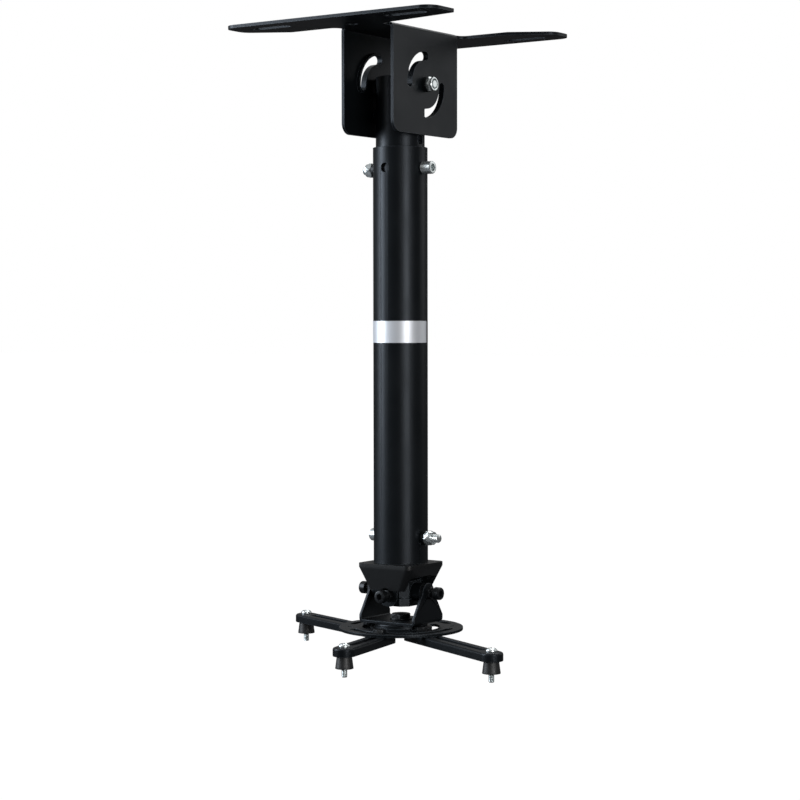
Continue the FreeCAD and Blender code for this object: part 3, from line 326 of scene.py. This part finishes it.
def new_piece(name, mesh_maker, material, body):
    """A new mesh object in the given material that rides on a body."""
    shape = bmesh.new()
    mesh_maker(shape)
    bmesh.ops.recalc_face_normals(shape, faces=shape.faces)
    for face in shape.faces:
        face.smooth = True
    for edge in shape.edges:
        if len(edge.link_faces) == 2 and edge.calc_face_angle() > SHARP_ANGLE:
            edge.smooth = False
    mesh = bpy.data.meshes.new(name)
    shape.to_mesh(mesh)
    shape.free()
    piece = bpy.data.objects.new(name, mesh)
    bpy.context.scene.collection.objects.link(piece)
    mesh.materials.append(material)
    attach(piece, body)
    return piece


NUT_ACROSS = 0.010
NUT_COLLAR = 0.0018
PLATED_BORE = 0.00302
THREAD, PITCH = 0.003, 0.001
HEX_HEAD = 0.004
low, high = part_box("pivot_nut")
pivot_nut_rings = lock_nut_rings(NUT_ACROSS, high[0] - low[0], NUT_COLLAR, PLATED_BORE)
pivot_nut_place = along("X", 1, (low[0], 0, (low[2] + high[2]) / 2))
pivot_nut = new_piece("pivot_lock_nut",
                      lambda shape: skin(shape, pivot_nut_rings, pivot_nut_place, bored=True),
                      zinc, "bracket")
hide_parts("pivot_nut")

nut_face = low[0]
low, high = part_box("pivot_bolt")
pivot_bolt_rings = hex_bolt_rings(high[0] - low[0], THREAD, PITCH, NUT_ACROSS, HEX_HEAD,
                                  high[0] - nut_face)
pivot_bolt_place = along("X", -1, (high[0], 0, (low[2] + high[2]) / 2))
pivot_bolt = new_piece("pivot_hex_bolt",
                       lambda shape: skin(shape, pivot_bolt_rings, pivot_bolt_place),
                       zinc, "bracket")
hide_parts("pivot_bolt")

# Pole: two drawn steel tubes, one inside the other, powder coated like the
# plate; the row of cross holes in the inner one is drilled before coating.
for name in ("inner_tube", "outer_tube"):
    finish_node(name, powder_coat, 0.25)

# Sticker: a blank strip of aluminised polyester foil, pressed round the outer
# tube by hand, so that it lies flat with a few shallow ripples.
STICKER_TOP, STICKER_FOOT = -0.2060, -0.2215
STICKER_START, STICKER_END = math.radians(15), math.radians(-165)
STICKER_CORNER = 0.0012
STICKER_GLUE, STICKER_FILM = 0.00004, 0.00010
RIPPLE_MM, RIPPLE_DEEP = 7, 0.0004
foil, tree, shader = new_material("silver_foil", Base_Color=linear("#cdd0d5"), Metallic=0.45,
                                  Roughness=0.42)
foil_place = add_node(tree, "ShaderNodeTexCoord")
foil_ripple = add_node(tree, "ShaderNodeTexNoise", {"Scale": per_mm(RIPPLE_MM), "Detail": 1.5},
                       {"Vector": foil_place.outputs["Object"]})
foil_bump = add_node(tree, "ShaderNodeBump", {"Strength": 0.15, "Distance": RIPPLE_DEEP},
                     {"Height": foil_ripple.outputs["Fac"]})
tree.links.new(foil_bump.outputs["Normal"], shader.inputs["Normal"])
tube_low, tube_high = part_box("outer_tube")
TUBE_RADIUS = (tube_high[0] - tube_low[0]) / 2


def outline(grid):
    """The points round the rim of a grid, once round."""
    return ([column[0] for column in grid] + grid[-1][1:]
            + [column[-1] for column in grid[-2::-1]] + grid[0][-2:0:-1])


def sticker_strip(shape):
    """A thin curved strip with rounded corners, closed all round."""
    columns, rows = 96, 6
    inside = TUBE_RADIUS + STICKER_GLUE
    length = inside * abs(STICKER_END - STICKER_START)
    middle = (STICKER_TOP + STICKER_FOOT) / 2
    half = (STICKER_TOP - STICKER_FOOT) / 2
    layers = []
    for radius in (inside, inside + STICKER_FILM):
        grid = []
        for column in range(columns + 1):
            share = 0.5 - 0.5 * math.cos(math.pi * column / columns)
            turn = STICKER_START + (STICKER_END - STICKER_START) * share
            inset = STICKER_CORNER - min(share * length, (1 - share) * length, STICKER_CORNER)
            height = half - (STICKER_CORNER - math.sqrt(STICKER_CORNER ** 2 - inset ** 2))
            x, y = radius * math.cos(turn), radius * math.sin(turn)
            grid.append([shape.verts.new((x, y, middle + height * (2 * row / rows - 1)))
                         for row in range(rows + 1)])
        layers.append(grid)
    for grid in layers:
        for a, b in zip(grid, grid[1:]):
            for row in range(rows):
                shape.faces.new((a[row], b[row], b[row + 1], a[row + 1]))
    rim_in, rim_out = map(outline, layers)
    for i in range(len(rim_in)):
        j = (i + 1) % len(rim_in)
        shape.faces.new((rim_in[i], rim_in[j], rim_out[j], rim_out[i]))


new_piece("foil_sticker", sticker_strip, foil, "outer_pole")

# Height bolt and lower bolt: long M6 socket cap bolts right through the pole,
# zinc plated, with a rolled thread that shows where it leaves the tube, a
# knurled cap and a lock nut on a thick black washer at the far side.
finish_node("pole_washers", black_oxide, 0.3)
KNURL = 0.00012


def knurled_ring(radius, depth):
    """A ring of straight knurling, one rib to two segments."""
    return [radius - (depth if i % 2 else 0.0) for i in range(SEGMENTS)]


CAP_TIP, CAP_TIP_SHARE, CAP_NECK = 0.0004, 0.78, 0.0002
CAP_FOOT = ((0, 0.93), (0.0004, 1))  # height over the seat, share of the cap's width
KNURL_FOOT, KNURL_TOP = 0.0006, 0.0007
CAP_TOP = ((-0.0005, 0.985), (-0.0001, 0.93), (0, 0.88))  # height over the top, the same share
SOCKET_MOUTH, SOCKET_LEAD, SOCKET_CONE, SOCKET_POINT = 1.06, 0.0003, 0.0004, 0.2


def cap_bolt_rings(length, shank, pitch, head, high, across, deep, threads):
    """A socket cap bolt from its tip at z = 0 to its head; threads lists the threaded stretches."""
    plain = shank * PLAIN_SHARE
    seat = length - high
    socket = hexagon_ring(across)
    rings = [(0, round_ring(shank * CAP_TIP_SHARE))]
    for start, end in threads:
        rings += thread_rings(max(start, CAP_TIP), end, shank, pitch)
        rings.append((end + RUN_OUT, round_ring(plain)))
    rings += [(seat - CAP_NECK, round_ring(plain)), (seat, round_ring(plain))]
    rings += [(seat + rise, round_ring(head * share)) for rise, share in CAP_FOOT]
    rings += [(seat + KNURL_FOOT, knurled_ring(head, KNURL)),
              (length - KNURL_TOP, knurled_ring(head, KNURL))]
    rings += [(length + rise, round_ring(head * share)) for rise, share in CAP_TOP]
    rings += [(length, [r * SOCKET_MOUTH for r in socket]), (length - SOCKET_LEAD, socket),
              (length - deep, socket),
              (length - deep - SOCKET_CONE, round_ring(across * SOCKET_POINT))]
    return rings


CAP_GAP, POLE_SOCKET, SOCKET_DEEP = 0.0003, 0.005, 0.0033
THREAD_HIDDEN = 0.002  # the thread runs on so far inside the tube
bolt_level = {}
for name, sign in (("height_bolt", 1), ("lower_bolt", -1)):
    low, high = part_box(name)
    length = high[0] - low[0]
    tip = low[0] if sign > 0 else high[0]
    cap_high = length - abs(tip) - TUBE_RADIUS - CAP_GAP
    bolt_rings = cap_bolt_rings(length, THREAD, PITCH, (high[2] - low[2]) / 2, cap_high,
                                POLE_SOCKET, SOCKET_DEEP,
                                [(0, abs(tip) - TUBE_RADIUS + THREAD_HIDDEN)])
    bolt_level[name] = (low[2] + high[2]) / 2
    bolt_place = along("X", sign, (tip, 0, bolt_level[name]))
    bolt = new_piece(name + "_turned", lambda shape: skin(shape, bolt_rings, bolt_place), zinc,
                     "outer_pole")
    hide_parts(name)

low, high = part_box("pole_nuts")
washer_low, washer_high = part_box("pole_washers")
pole_nut_rings = lock_nut_rings(NUT_ACROSS, high[0] - washer_high[0], NUT_COLLAR, PLATED_BORE)
pole_nut_places = [along("X", 1, (washer_high[0], 0, bolt_level["lower_bolt"])),
                   along("X", -1, (washer_low[0], 0, bolt_level["height_bolt"]))]


def pole_nut_pair(shape):
    """The lower bolt's nut on the right and the height bolt's on the left."""
    for place in pole_nut_places:
        skin(shape, pole_nut_rings, place, bored=True)


pole_nuts = new_piece("pole_lock_nuts", pole_nut_pair, zinc, "outer_pole")
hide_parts("pole_nuts")

# Collar: injection-moulded glass-filled ABS, with a fine spark-eroded grain
# that scatters its sheen and is drawn coarser than it is, so that it shows. It
# plugs the tube and is held by the lower bolt.
GRAIN_MM, GRAIN_DEEP = 0.7, 0.00015
abs_moulding, tree, shader = new_material("black_moulded_abs", Base_Color=linear("#080a0c"),
                                          IOR=1.53)
shader.inputs["Specular IOR Level"].default_value = 0.28
grain_place = add_node(tree, "ShaderNodeTexCoord")
grain = add_node(tree, "ShaderNodeTexNoise", {"Scale": per_mm(GRAIN_MM), "Detail": 2.0},
                 {"Vector": grain_place.outputs["Object"]})
grain_rough = add_node(tree, "ShaderNodeMapRange", {"To Min": 0.38, "To Max": 0.5},
                       {"Value": grain.outputs["Fac"]})
tree.links.new(grain_rough.outputs["Result"], shader.inputs["Roughness"])
grain_bump = add_node(tree, "ShaderNodeBump", {"Strength": 0.18, "Distance": GRAIN_DEEP},
                      {"Height": grain.outputs["Fac"]})
tree.links.new(grain_bump.outputs["Normal"], shader.inputs["Normal"])
finish_node("collar", abs_moulding, 0.6)

# Tilt joint: two folded steel straps and a small casting between them, coated
# like the plate, on nylon friction washers; one black button bolt holds the
# upper strap in the collar.
for name in ("upper_yoke", "cross_block", "lower_fork"):
    finish_node(name, powder_coat, 0.3)
for name in ("roll_friction_washers", "pitch_friction_washers"):
    finish_node(name, nylon, 0.2)
for name in ("yoke_bolt", "roll_jam_nuts", "pitch_jam_nuts"):
    finish_node(name, black_oxide, 0.2)
finish_node("yoke_nut", zinc, 0.2)

# Tilt screws: a pair of M5 cap screws on each axis, black, with knurled caps;
# jam nuts lock them against the straps.
TILT_THREAD, TILT_PITCH = 0.0025, 0.0008
TILT_CAP_HIGH, TILT_SOCKET = 0.005, 0.004
TILT_THREADED, TILT_NECK = 0.009, 0.0006  # where the thread begins and ends below the cap
TILT_ENDS = {"X": 0.0105, "Y": 0.005}  # the inner ends, from the joint's middle
for name, axis in (("roll_screws", "X"), ("pitch_screws", "Y")):
    index = "XYZ".index(axis)
    low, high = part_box(name)
    inner_end = TILT_ENDS[axis]
    length = high[index] - inner_end
    seat = length - TILT_CAP_HIGH
    tilt_rings = cap_bolt_rings(length, TILT_THREAD, TILT_PITCH, (high[2] - low[2]) / 2,
                                TILT_CAP_HIGH, TILT_SOCKET, SOCKET_DEEP,
                                [(seat - TILT_THREADED, seat - TILT_NECK)])
    tilt_places = []
    for sign in (1, -1):
        origin = [0, 0, (low[2] + high[2]) / 2]
        origin[index] = sign * inner_end
        tilt_places.append(along(axis, sign, origin))

    def tilt_pair(shape):
        """Both screws of the axis."""
        for place in tilt_places:
            skin(shape, tilt_rings, place)

    tilt_screws = new_piece(name + "_turned", tilt_pair, black_oxide, "cross")
    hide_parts(name)

# Swivel: a pressed steel disc with a raised hub, coated like the plate, on a
# black flat-headed bolt with a washer and a thin nut inside the fork.
finish_node("swivel_disc", powder_coat, 0.3)
for name in ("swivel_bolt", "swivel_washer", "swivel_nut"):
    finish_node(name, black_oxide, 0.2)

# Arms: steel channels pressed from one strip each, coated like the plate and
# clamped under the disc by black bolts with thin nuts. A zinc pan screw with a
# cross recess stands in the end of each, above its tapered nylon spacer.
PAN_HIGH, PAN_THREAD, PAN_PITCH, PAN_NECK = 0.0026, 0.002, 0.0007, 0.0017
PAN_TIP, PAN_TIP_RADIUS, PAN_THREADED = 0.0004, 0.0015, 0.0063
PAN_HEAD = ((0, 0.96), (0.0003, 1), (0.0011, 1), (0.0016, 0.95), (0.0021, 0.84),
            (0.0024, 0.7), (PAN_HIGH, 0.53))  # height over the seat, share of the head's width
RECESS_REACH, RECESS_HALF, RECESS_DEEP = 0.0019, 0.00048, 0.0016
FLOOR_REACH, FLOOR_WIDTH = 0.45, 0.7  # the recess's floor as shares of its mouth


def cross_ring(reach, half):
    """A cross recess drawn by its distance in each direction."""
    ring = []
    for t in TURN:
        across, up = max(abs(math.cos(t)), 1e-6), max(abs(math.sin(t)), 1e-6)
        ring.append(max(min(reach / across, half / up), min(half / across, reach / up)))
    return ring


for arm in ("right", "left", "front"):
    finish_node(arm + "_arm", powder_coat, 0.3)
    finish_node(arm + "_spacer", nylon, 0.3)
    for name in (arm + "_clamp_bolt", arm + "_clamp_nut", arm + "_clamp_washer"):
        finish_node(name, black_oxide, 0.2)
    name = arm + "_screw"
    low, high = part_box(name)
    length = high[2] - low[2]
    pan = (high[0] - low[0]) / 2
    seat = length - PAN_HIGH
    pan_rings = [(0, round_ring(PAN_TIP_RADIUS))]
    pan_rings += thread_rings(PAN_TIP, PAN_THREADED, PAN_THREAD, PAN_PITCH)
    pan_rings += [(PAN_THREADED + RUN_OUT, round_ring(PAN_NECK)), (seat, round_ring(PAN_NECK))]
    pan_rings += [(seat + rise, round_ring(pan * share)) for rise, share in PAN_HEAD]
    pan_rings += [(seat + PAN_HIGH, cross_ring(RECESS_REACH, RECESS_HALF)),
                  (seat + PAN_HIGH - RECESS_DEEP,
                   cross_ring(RECESS_REACH * FLOOR_REACH, RECESS_HALF * FLOOR_WIDTH))]
    pan_place = along("Z", 1, ((low[0] + high[0]) / 2, (low[1] + high[1]) / 2, low[2]))
    pan_screw = new_piece(name + "_turned", lambda shape: skin(shape, pan_rings, pan_place), zinc,
                          arm + "_arm")
    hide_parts(name)

# Stage: a white room for the camera and a pale floor well below the hanging
# mount, which is clear from below. Soft boxes stand on the left and the right,
# with a weak one behind and a broad one overhead.
CAMERA_TURN = math.radians(34.9)
CAMERA_AWAY, CAMERA_DIP, CAMERA_ROLL = 1.4853, math.radians(2.03), math.radians(-0.09)
EYE, FLOOR, FLOOR_HALF = -0.2098, -0.75, 30
FLOOR_GLOW, FLOOR_SHARE = 1.06, 0.96
SENSOR, FOCAL_PIXELS, FRAME_PIXELS = 36.0, 2080.0, 800.0
AIM = Vector((0, 0, -0.22))
to_camera = Vector((math.sin(CAMERA_TURN), -math.cos(CAMERA_TURN), 0))
to_right = Vector((math.cos(CAMERA_TURN), math.sin(CAMERA_TURN), 0))

floor_paint, tree, shader = new_material("pale_floor", Base_Color=linear("#505052"), Roughness=0.9)
floor_path = add_node(tree, "ShaderNodeLightPath")
floor_glow = add_node(tree, "ShaderNodeEmission", {"Color": (1, 1, 1, 1), "Strength": FLOOR_GLOW})
floor_share = add_node(tree, "ShaderNodeMath", {"operation": "MULTIPLY", 1: FLOOR_SHARE},
                       {0: floor_path.outputs["Is Camera Ray"]})
floor_mix = add_node(tree, "ShaderNodeMixShader", {},
                     {0: floor_share.outputs[0], 1: shader.outputs[0], 2: floor_glow.outputs[0]})
floor_side = add_node(tree, "ShaderNodeNewGeometry")
floor_clear = add_node(tree, "ShaderNodeBsdfTransparent")
floor_seen = add_node(tree, "ShaderNodeMixShader", {},
                      {0: floor_side.outputs["Backfacing"], 1: floor_mix.outputs[0],
                       2: floor_clear.outputs[0]})
tree.links.new(floor_seen.outputs[0], tree.nodes["Material Output"].inputs["Surface"])
floor_mesh = bpy.data.meshes.new("floor")
floor_corners = [(FLOOR_HALF * x, FLOOR_HALF * y, FLOOR)
                 for x, y in ((-1, -1), (1, -1), (1, 1), (-1, 1))]
floor_mesh.from_pydata(floor_corners, [], [(0, 1, 2, 3)])
floor = bpy.data.objects.new("floor", floor_mesh)
floor_mesh.materials.append(floor_paint)
bpy.context.scene.collection.objects.link(floor)

world = bpy.data.worlds.new("studio")
bpy.context.scene.world = world
world.use_nodes = True
tree = world.node_tree
backdrop = tree.nodes["Background"]
backdrop.inputs["Color"].default_value = (1, 1, 1, 1)
room_path = add_node(tree, "ShaderNodeLightPath")
room_place = add_node(tree, "ShaderNodeTexCoord")
room_axes = add_node(tree, "ShaderNodeSeparateXYZ", {}, {0: room_place.outputs["Generated"]})
room_light = add_node(tree, "ShaderNodeMapRange",
                      {"From Min": -0.1, "From Max": 0.9, "To Min": 0.03, "To Max": 0.5},
                      {"Value": room_axes.outputs["Z"]})
LEVEL_A, LEVEL_B = 2, 3  # the plain number sockets of a mix node
room_level = add_node(tree, "ShaderNodeMix", {"data_type": "FLOAT", LEVEL_B: 1.0},
                      {0: room_path.outputs["Is Camera Ray"],
                       LEVEL_A: room_light.outputs["Result"]})
tree.links.new(room_level.outputs[0], backdrop.inputs["Strength"])


def soft_box(name, side_deg, distance, height, wide, tall, power, tint=(1, 1, 1)):
    """A lamp at an angle from the camera's side, aimed at the mount's middle."""
    lamp = bpy.data.lights.new(name, "AREA")
    lamp.shape = "RECTANGLE"
    lamp.size = wide
    lamp.size_y = tall
    lamp.energy = power
    lamp.color = tint
    side = math.radians(side_deg)
    spot = (to_camera * math.cos(side) + to_right * math.sin(side)) * distance
    spot += Vector((0, 0, height))
    holder = bpy.data.objects.new(name, lamp)
    holder.location = spot
    holder.rotation_euler = (AIM - spot).to_track_quat("-Z", "Y").to_euler()
    bpy.context.scene.collection.objects.link(holder)


soft_box("left_soft_box", -88, 1.05, 0.08, 0.45, 0.9, 17, (0.85, 0.92, 1.0))
soft_box("front_left_soft_box", -70, 1.4, 0.12, 0.3, 0.8, 0.9)
soft_box("right_soft_box", 26, 1.7, -0.12, 0.62, 0.75, 15)
soft_box("rear_soft_box", 109, 1.5, 0.15, 0.7, 0.8, 1.9)
soft_box("overhead_soft_box", 160, 0.7, 1.2, 1.2, 1.2, 16)

camera_data = bpy.data.cameras.new("camera")
camera_data.sensor_width = SENSOR
camera_data.lens = SENSOR * FOCAL_PIXELS / FRAME_PIXELS
camera_data.shift_x = -0.0008
camera = bpy.data.objects.new("camera", camera_data)
camera.matrix_world = (Matrix.Translation(to_camera * CAMERA_AWAY + Vector((0, 0, EYE)))
                       @ Matrix.Rotation(CAMERA_TURN, 4, "Z")
                       @ Matrix.Rotation(math.pi / 2 - CAMERA_DIP, 4, "X")
                       @ Matrix.Rotation(CAMERA_ROLL, 4, "Z"))
bpy.context.scene.collection.objects.link(camera)
bpy.context.scene.camera = camera
bpy.context.scene.view_settings.view_transform = "Standard"

bpy.context.view_layer.update()
